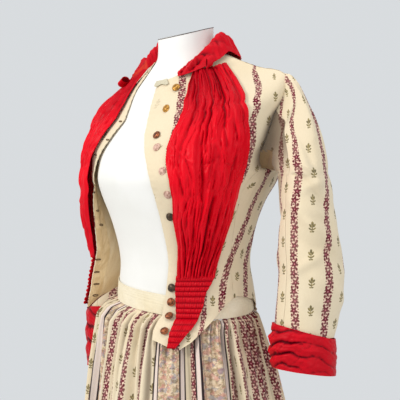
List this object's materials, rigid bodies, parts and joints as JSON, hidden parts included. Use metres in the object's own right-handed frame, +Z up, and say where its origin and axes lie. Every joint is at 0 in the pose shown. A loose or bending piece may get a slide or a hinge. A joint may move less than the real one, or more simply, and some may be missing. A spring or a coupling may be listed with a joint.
{
  "type": "two-piece historic dress on a dress form",
  "caption": "Open basque bodice with gathered satin fronts, folded collar and ruched cuffs over a full gathered skirt, worn by a limbless dress form on a round stand",
  "frame": {"origin": "on the floor, in the middle of the underside of the stand's base plate", "axes": "+Z up; the wearer faces -Y and their left is +X"},
  "size_m": [0.6393, 0.6303, 1.432],
  "materials": {
    "print_cotton": "woven cream cotton with flower stripes",
    "plain_cotton": "plain cream cotton",
    "satin": "red silk satin",
    "form_cover": "smooth white cover",
    "stand_steel": "satin",
    "button_metal": "worn brass"
  },
  "bodies": {
    "root": {"bodice_front_left": "print_cotton", "bodice_front_right": "print_cotton", "bodice_side_left": "print_cotton", "bodice_side_right": "print_cotton", "bodice_back_left": "print_cotton", "bodice_back_right": "print_cotton", "sleeve_upper_left": "print_cotton", "sleeve_under_left": "print_cotton", "sleeve_upper_right": "print_cotton", "sleeve_under_right": "print_cotton", "skirt_front": "print_cotton", "skirt_side_left": "print_cotton", "skirt_back": "print_cotton", "skirt_side_right": "print_cotton", "skirt_waistband": "plain_cotton", "plastron_left": "satin", "plastron_right": "satin", "shirring_left": "satin", "shirring_right": "satin", "cuff_left": "satin", "cuff_right": "satin", "collar_left": "satin", "collar_right": "satin", "collar_loop_left": "satin", "collar_loop_right": "satin", "button_01": "button_metal", "button_02": "button_metal", "button_03": "button_metal", "button_04": "button_metal", "button_05": "button_metal", "button_06": "button_metal", "button_07": "button_metal", "button_08": "button_metal", "button_09": "button_metal", "button_10": "button_metal", "button_11": "button_metal", "form_torso": "form_cover", "form_pole": "stand_steel", "form_base": "stand_steel"}
  },
  "joints": []
}
